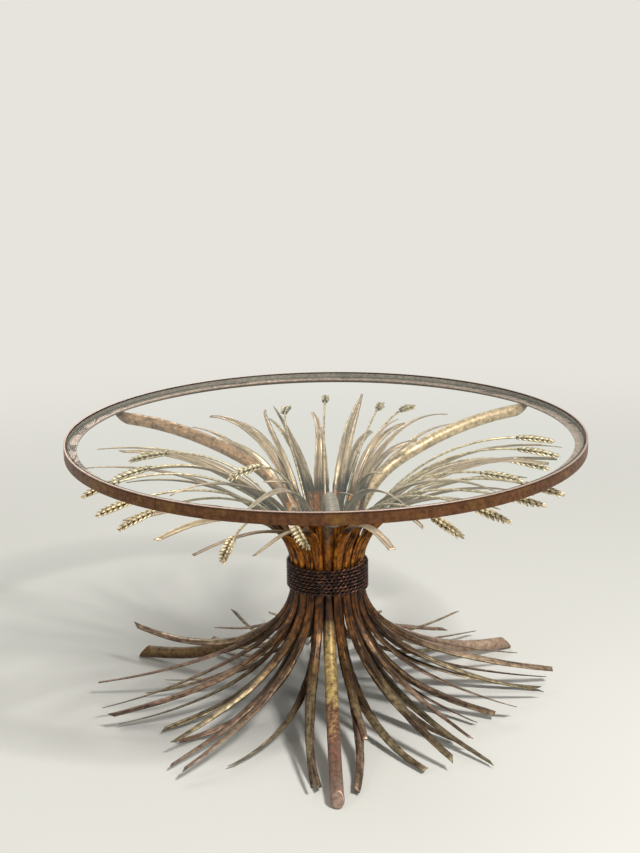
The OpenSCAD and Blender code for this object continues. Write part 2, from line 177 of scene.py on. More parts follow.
# The bundle
# Posts, leaves and stalks are brazed to a strip steel hoop at the waist: leaves outside it and inside it,
# posts and stalks inside. Each runs straight past the hoop, then bends out to the skirt or to the spray.
table_h = 430 * mm
waist_z = 209 * mm
hoop_h = 38 * mm
hoop_low = waist_z - hoop_h / 2
hoop_top = waist_z + hoop_h / 2
hoop_in = 52 * mm
hoop_r = 54.5 * mm
seat_gap = 0.4 * mm
leaf_crease = 2.4 * mm
leaf_core = 1.6 * mm
stalk_d = 3.5 * mm
outer_r = hoop_r
inner_r = hoop_in - seat_gap - leaf_crease
nest_r = inner_r - leaf_core - seat_gap
stalk_r = hoop_in - seat_gap - stalk_d / 2
post_turns = (-88, 32, 152)


def coated(tree, colour, *coats):
    """A colour with others laid over it, one after another, each by its own share."""
    for share, coat in coats:
        colour = blended(tree, "RGBA", share, colour, coat)
    return colour


def noise_at(tree, spot, scale, detail, roughness=0.5):
    """Noise at a spot, of so many patches to a metre."""
    return add(tree, "TexNoise", {"Vector": spot, "Scale": scale, "Detail": detail, "Roughness": roughness})


def mottled(tree, noise, dark, light):
    """A colour that goes from a dark hex value to a light one as a noise rises, as an aged finish does."""
    share = ranged(tree, noise[0], (0.36, 0.64))
    return coated(tree, linear(dark), (share, linear(light)))


# Strip steel, left bare and blackened by the brazing torch: dull, with soot in patches of 11 mm
brazed_steel, tree, shader = new_finish("blackened_strip_steel", Metallic=1.0, Roughness=0.62)
spot = add(tree, "TexCoord")["Object"]
soot = noise_at(tree, spot, 90.0, 5.0)
tree.links.new(mottled(tree, soot, "#1a1512", "#4a3a2c"), shader.inputs["Base Color"])
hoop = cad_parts["waist_hoop"]
hoop.data.materials.clear()
hoop.data.materials.append(brazed_steel)


def new_tree(name, inputs, outputs):
    """A new geometry tree with sockets named by kind, and what it is given."""
    tree = bpy.data.node_groups.new(name, "GeometryNodeTree")
    for way, kinds in (("INPUT", inputs), ("OUTPUT", outputs)):
        for kind, sockets in kinds.items():
            for socket in sockets:
                tree.interface.new_socket(socket, in_out=way, socket_type="NodeSocket" + kind)
    return tree, add(tree, "NodeGroupInput")


corner_names = ("waist", "run", "bend", "tip")


def sheaf_bend():
    """A node group: a point on a leaf's or stalk's bend, and its directions, at a share of the way out."""
    tree, given = new_tree(
        "sheaf_bend",
        {"Vector": corner_names, "Float": ("Share", "Turn", "Drift", "Way")},
        {"Vector": ("Point", "Outward", "Across", "Along")},
    )
    points = [given[corner] for corner in corner_names]
    while len(points) > 1:
        pair = points
        points = [blended(tree, "VECTOR", given["Share"], a, b) for a, b in zip(points, points[1:])]
    slope = vector_math(tree, "SUBTRACT", pair[1], pair[0])
    up_slope = vector_math(tree, "MULTIPLY", slope, given["Way"])
    along = vector_math(tree, "NORMALIZE", up_slope)
    outward = vector_math(tree, "CROSS_PRODUCT", (0, 1, 0), along)
    squared = add(tree, "MULTIPLY", [given["Share"], given["Share"]])
    azimuth = add(tree, "MULTIPLY_ADD", [squared[0], given["Drift"], given["Turn"]])
    directions = {"Point": points[0], "Outward": outward, "Across": (0, 1, 0), "Along": along}
    turned = {
        name: add(tree, "VectorRotate", {"Vector": vector, "Angle": azimuth[0]}, rotation_type="Z_AXIS")[0]
        for name, vector in directions.items()
    }
    add(tree, "NodeGroupOutput", turned)
    return tree


bend = sheaf_bend()


def shaped(tree, mesh, chart, place):
    """A mesh that carries its own map, with each point moved to its place."""
    mapped = add(
        tree,
        "GeometryNodeStoreNamedAttribute",
        {"Geometry": mesh["Mesh"], "Name": "UVMap", "Value": chart},
        data_type="FLOAT2",
        domain="CORNER",
    )
    return add(tree, "GeometryNodeSetPosition", {"Geometry": mapped[0], "Position": place})


def started(name, **inputs):
    """Starts a tree for a piece with a finish, and gives what the tree is given."""
    return new_tree(name, {**inputs, "Material": ("Finish",)}, {"Geometry": ("Piece",)})


def finished(tree, given, *parts):
    """Ends a tree: its parts are joined, made real and smooth, and get the finish that it is given."""
    joined = tree.nodes.new("GeometryNodeJoinGeometry")
    for part in parts:
        tree.links.new(part[0], joined.inputs[0])
    whole = add(tree, "GeometryNodeRealizeInstances", {"Geometry": joined.outputs[0]})
    smooth = add(tree, "GeometryNodeSetShadeSmooth", {"Geometry": whole[0]})
    done = add(tree, "GeometryNodeSetMaterial", {"Geometry": smooth[0], "Material": given["Finish"]})
    add(tree, "NodeGroupOutput", {"Piece": done[0]})
    return tree


# Leaves
# Strips of sheet steel, cut to a blade at both ends, creased down the middle and bent over by hand, then
# gilded and lacquered. 21 stand outside the hoop and 12 inside it. In those nest 9 short ones with a head
# alone, in the middle of the spray, and 12 with a foot alone, in the skirt.
leaf_waist_w = 12.6 * mm
leaf_swell = 5 * mm
foot_tip_w = 7 * mm
head_tip_w = 3.5 * mm
blunt_tip_w = 10 * mm
low_head = 70
leaf_sheet = 1.1 * mm
crease_gain = 2.6 * mm
leaf_twist = 28
seed_step = 1.37
inner_narrow = 1 * mm
centre_narrow = 3 * mm
outer_foot_run = 75
inner_foot_run = 105
skirt_foot_run = 112
outer_head_run = 70
inner_head_run = 90
centre_head_run = 110
outer_knee = 54
inner_knee = 18
skirt_knee = 9
outer_arch = 18
inner_arch = 30
centre_arch = 4
leaf_steps = 110
leaf_columns = 8
crowding = 0.7
held_share = 0.06
tip_sharpness = 14.0
tip_uneven = 0.4
most_cut = 0.01
edge_pattern = (22, 0.7, 7)
edge_waver = 0.14
bend_pattern = (2.6, 0, 3)
leaf_wander = 9 * mm


def creased_leaf():
    """A tree that makes one leaf: a grid whose length runs from foot to head and whose width is creased."""
    widths = ("Waist width", "Foot tip width", "Head tip width")
    shaping = ("Turn", "Foot drift", "Head drift", "Twist", "Start", "End", "Cut", "Seed")
    places = [side + corner for side in ("Foot ", "Head ") for corner in corner_names]
    tree, given = started("creased_leaf", Vector=places, Float=widths + shaping)
    counts = {"Vertices X": leaf_steps + 1, "Vertices Y": leaf_columns + 1}
    grid = add(tree, "GeometryNodeMeshGrid", {"Size X": 1, "Size Y": 2, **counts})
    spot = add(tree, "SeparateXYZ", [add(tree, "GeometryNodeInputPosition")[0]])
    wide = spot["Y"]
    column = add(tree, "ABSOLUTE", [wide])[0]
    crowd = add(tree, "POWER", [column, crowding])[0]
    spread = add(tree, "MULTIPLY", [wide, crowd])[0]

    # From foot, -1, to head, 1, or from a start between them; one edge ends short where the tip is cut
    full = ranged(tree, spot["X"], (-0.5, 0.5), (given["Start"], given["End"]))
    size = add(tree, "ABSOLUTE", [full])[0]
    near_tip = add(tree, "POWER", [size, tip_sharpness])[0]
    cut_size = add(tree, "ABSOLUTE", [given["Cut"]])[0]
    slant = add(tree, "MULTIPLY_ADD", [spread, given["Cut"], cut_size])
    short = add(tree, "MULTIPLY", [near_tip, slant[0]])
    out = add(tree, "SUBTRACT", [size, short[0]])[0]
    head = add(tree, "GREATER_THAN", [full, 0.0])[0]
    way = add(tree, "MULTIPLY_ADD", [head, 2.0, -1.0])[0]

    # The share of the way from the hoop's edge to the tip, and the stretch within the hoop
    share = ranged(tree, out, (held_share, 1.0))
    held = ranged(tree, out, (0.0, held_share), (-hoop_h / 2, 0.0))
    held_z = add(tree, "MULTIPLY", [held, way])[0]
    ends = {
        corner: blended(tree, "VECTOR", head, given["Foot " + corner], given["Head " + corner])
        for corner in corner_names
    }
    drift, tip_width = (
        blended(tree, "FLOAT", head, given["Foot " + end], given["Head " + end])
        for end in ("drift", "tip width")
    )
    path = {**ends, "Share": share, "Turn": given["Turn"], "Drift": drift, "Way": way}
    curve = add(tree, "GeometryNodeGroup", path, node_tree=bend)

    # The width tapers to the tip with a swell between, and its edges waver as hand-cut edges do
    squared = add(tree, "MULTIPLY", [share, share])[0]
    taper = blended(tree, "FLOAT", squared, given["Waist width"], tip_width)
    hump = add(tree, "SUBTRACT", [share, squared])[0]
    width = add(tree, "MULTIPLY_ADD", [hump, 4 * leaf_swell, taper])[0]
    spot_along = add(tree, "CombineXYZ", [full, wide, given["Seed"]])[0]
    edge_spot = vector_math(tree, "MULTIPLY", spot_along, edge_pattern)
    edge_noise = noise_at(tree, edge_spot, 1.0, 2.0)
    waver = ranged(tree, edge_noise[0], (0.2, 0.8), (1 - edge_waver, 1 + edge_waver))
    half = add(tree, "MULTIPLY", [width, waver])[0]
    sideways = add(tree, "MULTIPLY", [spread, half])[0]
    sideways = add(tree, "MULTIPLY", [sideways, 0.5])[0]

    # The crease stands out in the middle, deepest half-way to a tip
    crowded = add(tree, "POWER", [column, 1 + crowding])[0]
    flat = ranged(tree, share, (0.0, 1.0), (leaf_crease, 0.0))
    deep = add(tree, "MULTIPLY_ADD", [hump, 4 * crease_gain, flat])[0]
    rise = ranged(tree, crowded, (0.0, 1.0), (deep, 0.0))

    # The blade turns on its own length, and wanders a little from a true curve
    twist = add(tree, "MULTIPLY", [share, way])[0]
    twist = add(tree, "MULTIPLY", [twist, given["Twist"]])[0]
    bend_spot = vector_math(tree, "MULTIPLY", spot_along, bend_pattern)
    bend_noise = noise_at(tree, bend_spot, 1.0, 1.0)
    wander = vector_math(tree, "SUBTRACT", bend_noise["Color"], (0.5, 0.5, 0.5))
    reach = add(tree, "MULTIPLY", [share, leaf_wander])
    place = vector_math(tree, "MULTIPLY_ADD", wander, reach[0], curve["Point"])
    for direction, distance in (("Across", sideways), ("Outward", rise)):
        swung = {"Vector": curve[direction], "Axis": curve["Along"], "Angle": twist}
        turned = add(tree, "VectorRotate", swung, rotation_type="AXIS_ANGLE")
        place = vector_math(tree, "MULTIPLY_ADD", turned[0], distance, place)
    lift = add(tree, "CombineXYZ", {2: held_z})[0]
    place = vector_math(tree, "ADD", place, lift)

    # The sheet's own map, in metres: across from the crease, and along from the waist, shifted by the seed
    length = vector_math(tree, "DISTANCE", ends["waist"], ends["tip"])
    far = add(tree, "MULTIPLY", [length, share])[0]
    far = add(tree, "MULTIPLY_ADD", [far, way, given["Seed"]])[0]
    chart = add(tree, "CombineXYZ", [sideways, far])[0]
    bent = shaped(tree, grid, chart, place)
    return finished(tree, given, add(tree, "GeometryNodeFlipFaces", {"Mesh": bent[0]}))


def grown(name, tree, values, sheet=0.0):
    """A piece with the plain mesh that a tree makes of named values; a sheet gets its thickness inwards."""
    maker = new_piece(name + "_maker", bpy.data.meshes.new(name + "_maker"))
    nodes = maker.modifiers.new("tree", "NODES")
    nodes.node_group = tree
    for socket in tree.interface.items_tree:
        if socket.in_out == "INPUT" and socket.name in values:
            nodes[socket.identifier] = values[socket.name]
    if sheet:
        wall = maker.modifiers.new("sheet", "SOLIDIFY")
        wall.thickness = sheet
        wall.offset = -1
    maker.update_tag()
    bpy.context.view_layer.update()
    mesh = bpy.data.meshes.new_from_object(maker.evaluated_get(bpy.context.evaluated_depsgraph_get()))
    mesh.name = name
    bpy.data.objects.remove(maker)
    return new_piece(name, mesh)


knee_share = 0.44
arch_share = 0.52
head_lean = 1 * mm


def foot_curve(r, run, knee, reach, height):
    """The corners of a foot's bend, from its radius at the waist and from lengths in millimetres."""
    low = (height * 0.5 + knee) * mm
    elbow = (reach * knee_share * mm, low)
    places = ((r, hoop_low), (r, hoop_low - run * mm), elbow, (reach * mm, height * mm))
    return {"Foot " + corner: (out, 0, up) for corner, (out, up) in zip(corner_names, places)}


def head_curve(r, run, arch, reach, drop, side="Head "):
    """The corners of a head's or stalk's bend, which ends a drop below the rim's upper edge."""
    top = table_h - drop * mm
    over = (reach * arch_share * mm, top + arch * mm)
    places = ((r, hoop_top), (r + head_lean, hoop_top + run * mm), over, (reach * mm, top))
    return {side + corner: (out, 0, up) for corner, (out, up) in zip(corner_names, places)}


def spot_on_table(tree):
    """A spot on the table, its three parts, and how far it lies from the axis."""
    spot = add(tree, "TexCoord")["Object"]
    split = add(tree, "SeparateXYZ", [spot])
    flat_spot = add(tree, "CombineXYZ", [split[0], split[1]])
    return spot, split, vector_math(tree, "LENGTH", flat_spot[0])


def worn_surface(tree, shader, skin, mottle, dull, bright, depth, strength):
    """Gives a finish its colour, and from its mottle both patchy gloss and shallow pits."""
    tree.links.new(skin, shader.inputs["Base Color"])
    gloss = ranged(tree, mottle[0], (0.3, 0.7), (dull, bright))
    tree.links.new(gloss, shader.inputs["Roughness"])
    pits = add(tree, "Bump", {"Height": mottle[0], "Strength": strength, "Distance": depth})
    tree.links.new(pits[0], shader.inputs["Normal"])


# Rolled steel sheet under aged gilding, half metallic to the eye, with patchy gloss and shallow pits. Its
# mottle is 9 mm across, its streaks 3 mm by 38 mm and its clouds 11 mm by 71 mm, along the leaf.
gilded_sheet, tree, shader = new_finish("gilded_creased_sheet", Metallic=0.62)
chart = add(tree, "UVMap", uv_map="UVMap")[0]
chart_split = add(tree, "SeparateXYZ", [chart])
spot, split, radius = spot_on_table(tree)
mottle = noise_at(tree, spot, 110.0, 6.0, 0.68)
streaks, clouds = (
    noise_at(tree, add(tree, "Mapping", {"Vector": chart, "Scale": pattern})[0], 1.0, 4.0, 0.6)
    for pattern in ((330, 26, 1), (90, 14, 1))
)

# Each leaf has a tone of its own, between khaki, tan and dark bronze
leaf_number = add(tree, "MULTIPLY", [chart_split[1], 1 / seed_step])[0]
leaf_number = add(tree, "ROUND", [leaf_number])[0]
chance = add(tree, "TexWhiteNoise", {"W": leaf_number}, noise_dimensions="1D")["Color"]
chances = add(tree, "SeparateXYZ", [chance])

# The gilding is amber at the waist, dark bronze on the bends, from 88 mm out from the axis, and from
# 140 mm out rubbed to khaki or a pinkish tan, with the spray the palest, its paleness partly a painted
# highlight
above = ranged(tree, split[2], (waist_z, table_h - 125 * mm), (0.0, -0.04))
spray = ranged(tree, split[2], (table_h - 130 * mm, table_h - 85 * mm), (0.0, 0.16))
above = add(tree, "ADD", [above, spray])[0]
uneven = add(tree, "MULTIPLY_ADD", [clouds[0], 0.06, radius])[0]
zone = add(tree, "ADD", [uneven, above])[0]
bend_share = ranged(tree, zone, (88 * mm, 118 * mm))
far_share = ranged(tree, zone, (140 * mm, 210 * mm))
toned = add(tree, "MULTIPLY_ADD", [chances[0], 0.3, clouds[0]])[0]
tan_share = ranged(tree, toned, (0.56, 0.7), (0.0, 0.9))
low_amber, amber, bronze, khaki, tan = (
    mottled(tree, mottle, dark, light)
    for dark, light in (
        ("#3a1a08", "#9a5c1c"),
        ("#8a3c06", "#ee9c30"),
        ("#34200f", "#7e5e38"),
        ("#564a34", "#a89672"),
        ("#664e42", "#b6947c"),
    )
)
upper = ranged(tree, split[2], (waist_z - 25 * mm, waist_z + 20 * mm))
# The spray's cream is partly its own tone and partly a painted highlight
pale_and_highlight_share = add(tree, "MULTIPLY", [spray, 3.0])[0]
worn = coated(tree, khaki, (tan_share, tan), (pale_and_highlight_share, linear("#e4cdaa")))
metal = coated(tree, low_amber, (upper, amber), (bend_share, bronze), (far_share, worn))
stain = add(tree, "MULTIPLY_ADD", [chances[1], 0.16, streaks[0]])[0]
most_stain = ranged(tree, far_share, (0.0, 1.0), (0.94, 0.5))
dark_share = ranged(tree, stain, (0.52, 0.66), (0.0, most_stain))
# Dark clouds along the leaves, strongest below the waist, are partly patina and partly painted shadow
most_patina_and_shadow = ranged(tree, upper, (0.0, 1.0), (0.8, 0.3))
patina_and_shadow_patch = ranged(tree, clouds[0], (0.5, 0.6), (0.0, most_patina_and_shadow))
dark_share = add(tree, "MAXIMUM", [dark_share, patina_and_shadow_patch])[0]

# Painted shade: below the waist a leaf's under side and steep flanks are nearly black, and above the waist
# they are a little darker
facing = add(tree, "SeparateXYZ", [add(tree, "TexCoord")["Normal"]])["Z"]
most_painted_shade = ranged(tree, upper, (0.0, 1.0), (0.85, 0.15))
painted_shade = ranged(tree, facing, (-0.3, 0.45), (most_painted_shade, 0.0))
skin = coated(tree, metal, (dark_share, linear("#221004")), (painted_shade, linear("#1c1008")))
worn_surface(tree, shader, skin, mottle, 0.52, 0.33, 0.6 * mm, 0.35)

leaf = creased_leaf()
outer_places = 24
outer_pitch = 360 / outer_places
outer_slots = [i for i in range(outer_places) if i % (outer_places // 3)]

# A row gives the foot's drift, reach and height, the head's drift, reach and drop, and a knee of its own
outer_rows = (
    (-3, 215, 30, 0, 305, 85),
    (3, 310, 16, -6, 300, 64),
    (-1, 286, 24, 1, 320, 55),
    (11, 296, 22, -2, 335, 52),
    (10, 335, 16, 6, 300, 64),
    (5, 356, 24, -2, 345, 48),
    (3, 326, 22, -5, 340, 45),
    (-10, 262, 77, -2, 300, 48, -8),
    (-15, 290, 24, -2, 260, 50),
    (-4, 320, 20, -2, 300, 80),
    (3, 300, 34, 3, 280, 46),
    (2, 335, 18, 1, 320, 60),
    (4, 273, 61, 0, 290, 46, -42),
    (-1, 262, 44, -2, 310, 52),
    (-9, 345, 75, -1, 330, 50, 0),
    (-4, 360, 22, 0, 362, 52),
    (-5, 350, 20, -2, 300, 55),
    (-14, 346, 24, 5, 345, 72),
    (-6, 300, 22, 4, 358, 74),
    (-9, 340, 16, -5, 330, 98),
    (9, 318, 14, -6, 292, 98),
)
inner_turns = (18, 46, 74, 102)

# The same, with an arch of its own in the place of the knee
inner_rows = (
    (-13, 322, 8, 4, 270, 40),
    (-4, 340, 8, 4, 300, 38),
    (-5, 264, 10, 4, 330, 38),
    (-6, 348, 8, -5, 366, 46),
    (-6, 340, 9, -4, 280, 30),
    (0, 320, 8, 2, 346, 28, -25),
    (4, 280, 8, 2, 276, 28, -50),
    (-2, 300, 8, 0, 270, 28),
    (10, 288, 10, 2, 354, 39),
    (0, 330, 8, -9, 269, 46),
    (1, 330, 8, -4, 290, 38),
    (14, 312, 8, -6, 270, 38),
)

# The inner leaf that it nests in, the head's drift, reach and drop
centre_rows = (
    (0, 6, 84, 78),
    (1, 2, 112, 46),
    (3, 6, 150, 30),
    (4, 5, 200, 26),
    (5, 1, 300, 23),
    (6, -14, 107, 26),
    (7, -20, 240, 24),
    (8, -8, 180, 26),
    (10, -10, 110, 58),
)

# The drift and reach of the foot in each inner leaf, all at one height; the head's stub ends at the hoop
skirt_height = 7
stub_drop = 30
skirt_rows = (
    (8, 290),
    (0, 250),
    (-12, 246),
    (-12, 332),
    (-8, 270),
    (-12, 300),
    (-7, 258),
    (4, 257),
    (-2, 268),
    (9, 280),
    (-10, 270),
    (-14, 280),
)


def make_leaf(name, node, turn, row, number, kind, start=-1.0, end=1.0, head_tip=head_tip_w):
    """One leaf as its own piece, from its row and from its kind's radius, runs, knee, arch and width."""
    foot_drift, foot_reach, foot_height, head_drift, head_reach, drop = row
    r, foot_run, knee, head_run, arch, width = kind
    uneven = 1 + tip_uneven * math.sin(number * 53)
    values = {
        **foot_curve(r, foot_run, knee, foot_reach, foot_height),
        **head_curve(r, head_run, arch, head_reach, drop),
        "Turn": math.radians(turn),
        "Foot drift": math.radians(foot_drift),
        "Head drift": math.radians(head_drift),
        "Twist": math.radians(leaf_twist * math.sin(math.radians(number * 97))),
        "Waist width": width,
        "Foot tip width": foot_tip_w * uneven,
        "Head tip width": head_tip * uneven,
        "Start": start,
        "End": end,
        "Cut": most_cut * math.sin(number * 71),
        "Seed": seed_step * number,
        "Finish": gilded_sheet,
    }
    piece = grown(name + "_sheet", leaf, values, sheet=leaf_sheet)
    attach(piece, "root")
    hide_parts(node)


for i, row in enumerate(outer_rows):
    name = f"outer_leaf_{i + 1:02d}"
    turn = post_turns[0] + outer_pitch * outer_slots[i]
    knee = row[6] if len(row) > 6 else outer_knee
    kind = (outer_r, outer_foot_run, knee, outer_head_run, outer_arch, leaf_waist_w)
    head_tip = blunt_tip_w if row[5] > low_head else head_tip_w
    make_leaf(name, name, turn, row[:6], i, kind, head_tip=head_tip)

nest_turns = [post + turn for post in post_turns for turn in inner_turns]
for i, row in enumerate(inner_rows):
    name = f"inner_leaf_{i + 1:02d}"
    arch = row[6] if len(row) > 6 else inner_arch
    kind = (inner_r, inner_foot_run, inner_knee, inner_head_run, arch, leaf_waist_w - inner_narrow)
    make_leaf(name, name, nest_turns[i], row[:6], i + 3, kind)

nest_w = leaf_waist_w - centre_narrow
kind = (nest_r, inner_foot_run, inner_knee, centre_head_run, centre_arch, nest_w)
for i, (nest, drift, reach, drop) in enumerate(centre_rows):
    name = f"centre_leaf_{i + 1}"
    row = (0, reach, drop, drift, reach, drop)
    make_leaf(name, "centre_leaves", nest_turns[nest], row, i + 40, kind, start=-held_share)

kind = (nest_r, skirt_foot_run, skirt_knee, centre_head_run, centre_arch, nest_w)
for i, (drift, reach) in enumerate(skirt_rows):
    name = f"skirt_leaf_{i + 1:02d}"
    row = (drift, reach, skirt_height, 0, reach, stub_drop)
    make_leaf(name, "skirt_leaves", nest_turns[i], row, i + 60, kind, end=held_share)

# Wheat
# Each stalk is a steel rod, brazed into the bundle and bent over by hand. Its ear has stamped kernels in
# plaited rows, brazed to the rod in front and behind, and ends in one pointed kernel.
ear_l = 64 * mm
ear_w = 12 * mm
ear_t = 8 * mm
ear_steps = 7
kernel_halves = (2.3 * mm, 3 * mm, 6.7 * mm)
kernel_lift = 4 * mm
least_kernel = 0.9
most_kernel = 1.08
rows_end = 0.96
side_shift = 0.14 * ear_w
side_tilt = 0.42
face_shift = 0.17 * ear_t
face_tilt = 0.22
rod_sides = 10
rod_steps = 60
rod_held_share = 0.1
rod_in_ear = 0.35
last_kernel = (0.6, 0.6, 0.9)
last_kernel_share = 0.985
stalk_run = 95
stalk_arch = 50
upright_arch = 35


def bar_along(tree, line, radius, sides, thickness=1.0):
    """A round bar along a line of points, closed at both ends; its thickness is a share of the full one."""
    curve = add(tree, "GeometryNodeMeshToCurve", {"Mesh": line[0]})
    sized = add(tree, "GeometryNodeSetCurveRadius", {"Curve": curve[0], "Radius": thickness})
    section = add(tree, "GeometryNodeCurvePrimitiveCircle", {"Resolution": sides, "Radius": radius})
    drawn = {"Curve": sized[0], "Profile Curve": section[0], "Fill Caps": True}
    return add(tree, "GeometryNodeCurveToMesh", drawn)


def wheat_stalk():
    """A tree that makes one stalk along its bend, with kernels set in plaited rows along its ear."""
    shaping = ("Turn", "Drift", "Ear start")
    tree, given = started("wheat_stalk", Vector=corner_names, Float=shaping, Int=("Seed",))
    path = {name: given[name] for name in (*corner_names, "Turn", "Drift")}
    path["Way"] = 1.0

    # The rod, from the foot of the hoop to the tip of the ear, thinner within the ear
    rod = add(tree, "GeometryNodeMeshLine", {"Count": rod_steps + 1, "Offset": (0, 0, 1 / rod_steps)})
    step = add(tree, "SeparateXYZ", [add(tree, "GeometryNodeInputPosition")[0]])["Z"]
    share = ranged(tree, step, (rod_held_share, 1.0))
    held = ranged(tree, step, (0.0, rod_held_share), (-hoop_h, 0.0))
    curve = add(tree, "GeometryNodeGroup", {**path, "Share": share}, node_tree=bend)
    lift = add(tree, "CombineXYZ", {2: held})[0]
    place = vector_math(tree, "ADD", curve["Point"], lift)
    thin = ranged(tree, share, (given["Ear start"], 1.0), (1.0, rod_in_ear))
    bent = add(tree, "GeometryNodeSetPosition", {"Geometry": rod[0], "Position": place})
    bar = bar_along(tree, bent, stalk_d / 2, rod_sides, thin)

    # One kernel: a plump grain with a drawn-out point, half as long again as the rows' spacing
    grain = add(tree, "GeometryNodeMeshUVSphere", {"Segments": 8, "Rings": 7, "Radius": 1.0})
    spot = add(tree, "GeometryNodeInputPosition")[0]
    height = add(tree, "SeparateXYZ", [spot])["Z"]
    slim = ranged(tree, height, (-1.0, 1.0), (1.15, 0.75))
    point = add(tree, "POWER", [height, 7.0])[0]
    drawn = ranged(tree, point, (0.0, 1.0), (0.0, 0.5))
    plump = vector_math(tree, "MULTIPLY", spot, slim)
    tall = add(tree, "CombineXYZ", {2: drawn})[0]
    plump = vector_math(tree, "ADD", plump, tall)
    lift = (0, 0, kernel_lift)
    moved = vector_math(tree, "MULTIPLY_ADD", plump, kernel_halves, lift)
    chart = add(tree, "CombineXYZ", [height])[0]
    kernel = shaped(tree, grain, chart, moved)

    def kernels_on(points, aim, outward, size):
        """Kernels on points, each turned to its aim with its back outwards."""
        turned = add(
            tree,
            "FunctionNodeAxesToRotation",
            {"Primary Axis": aim, "Secondary Axis": outward},
            primary_axis="Z",
            secondary_axis="X",
        )[0]
        setting = {"Points": points[0], "Instance": kernel[0], "Rotation": turned, "Scale": size}
        return add(tree, "GeometryNodeInstanceOnPoints", setting)

    # Four rows of kernels: left and right take turns, in front and behind, and lean out from the rod
    seats = add(tree, "GeometryNodeMeshLine", {"Count": ear_steps * 4, "Offset": (0, 0, 1)})
    number = add(tree, "GeometryNodeInputIndex")[0]
    right = add(tree, "MODULO", [number, 2.0])[0]
    pair = add(tree, "MULTIPLY", [number, 0.5])[0]
    pair = add(tree, "FLOOR", [pair])[0]
    front = add(tree, "MODULO", [pair, 2.0])[0]
    row = add(tree, "MULTIPLY", [pair, 0.5])[0]
    row = add(tree, "FLOOR", [row])[0]
    row = add(tree, "MULTIPLY_ADD", [right, 0.5, row])[0]
    along = ranged(tree, row, (0.0, ear_steps), (0.0, rows_end))
    side = add(tree, "MULTIPLY_ADD", [right, 2.0, -1.0])[0]
    face = add(tree, "MULTIPLY_ADD", [front, 2.0, -1.0])[0]
    share = ranged(tree, along, (0.0, 1.0), (given["Ear start"], 1.0))
    curve = add(tree, "GeometryNodeGroup", {**path, "Share": share}, node_tree=bend)
    swell = ranged(tree, along, (0.0, 0.25), (0.8, 1.0))
    fade = ranged(tree, along, (0.5, 1.0), (1.0, 0.62))
    full = add(tree, "MULTIPLY", [swell, fade])[0]
    place = curve["Point"]
    aim = curve["Along"]
    for direction, sign, shift, tilt in (
        ("Across", side, side_shift, side_tilt),
        ("Outward", face, face_shift, face_tilt),
    ):
        signed = vector_math(tree, "MULTIPLY", curve[direction], sign)
        off = vector_math(tree, "MULTIPLY", signed, full)
        place = vector_math(tree, "MULTIPLY_ADD", off, (shift,) * 3, place)
        aim = vector_math(tree, "MULTIPLY_ADD", signed, (tilt,) * 3, aim)
    seated = add(tree, "GeometryNodeSetPosition", {"Geometry": seats[0], "Position": place})
    uneven = {2: least_kernel, 3: most_kernel, "Seed": given["Seed"]}
    chance = add(tree, "FunctionNodeRandomValue", uneven, data_type="FLOAT")[1]
    size = add(tree, "MULTIPLY", [chance, full])[0]
    rows = kernels_on(seated, aim, curve["Outward"], size)

    # The pointed kernel at the tip
    last = add(tree, "GeometryNodeMeshLine", {"Count": 1})
    curve = add(tree, "GeometryNodeGroup", {**path, "Share": last_kernel_share}, node_tree=bend)
    end = add(tree, "GeometryNodeSetPosition", {"Geometry": last[0], "Position": curve["Point"]})
    tip = kernels_on(end, curve["Along"], curve["Outward"], last_kernel)
    return finished(tree, given, tip, rows, bar)


# Stamped sheet steel, thinly gilded: a pale gold husk, mottled 6 mm across, with painted shade at each
# kernel's root
gilded_wheat, tree, shader = new_finish("gilded_stamped_wheat", Metallic=0.6, Roughness=0.42)
spot = add(tree, "TexCoord")["Object"]
chart = add(tree, "SeparateXYZ", [add(tree, "UVMap", uv_map="UVMap")[0]])["X"]
mottle = noise_at(tree, spot, 160.0, 5.0, 0.65)
husk = mottled(tree, mottle, "#988058", "#f4e4bc")
# Painted shade: each kernel darkens towards its root
root_shade_share = ranged(tree, chart, (-0.65, 0.2), (0.96, 0.0))
shaded = coated(tree, husk, (root_shade_share, linear("#1c1206")))
tree.links.new(shaded, shader.inputs["Base Color"])

wheat = wheat_stalk()

# The post that it stands after, the turn from that post, and its drift, reach and drop
wheat_rows = (
    (0, 27.8, 4, 329, 75),
    (0, 32, 9, 362, 58),
    (0, 36.2, 18, 364, 55),
    (0, 57.5, 4, 372, 52),
    (0, 62.5, 12, 294, 60),
    (0, 83.8, -4, 331, 50),
    (0, 88, -1, 347, 42),
    (0, 92.2, 4, 351, 35),
    (2, 27.8, -1, 294, 45),
    (2, 32, 9, 319, 52),
    (2, 36.2, 14, 372, 55),
    (2, 57.5, 2, 372, 65),
    (2, 62.5, 4, 362, 75),
    (2, 83.8, -14, 185, 36),
    (2, 88, 9, 370, 80),
    (2, 92.2, 22, 312, 75),
)
upright_rows = ((1, 28, 2.5, 315, 36), (1, 32, 9, 312, 36), (1, 60, -2, 353, 36), (1, 88, -18, 289, 36))
stalks = [(row, stalk_arch, f"wheat_stalk_{i + 1:02d}", None) for i, row in enumerate(wheat_rows)]
for i, row in enumerate(upright_rows):
    stalks.append((row, upright_arch, f"upright_stalk_{i + 1}", "upright_stalks"))
for i, ((post, after, drift, reach, drop), arch, name, shared_node) in enumerate(stalks):
    places = head_curve(stalk_r, stalk_run, arch, reach, drop, "")
    last_run = Vector(places["tip"]) - Vector(places["bend"])
    values = {
        **places,
        "Turn": math.radians(post_turns[post] + after),
        "Drift": math.radians(drift),
        "Ear start": 1 - ear_l / (3 * last_run.length),
        "Seed": i,
        "Finish": gilded_wheat,
    }
    piece = grown(name + "_ear", wheat, values)
    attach(piece, "root")
    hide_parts(shared_node or name)

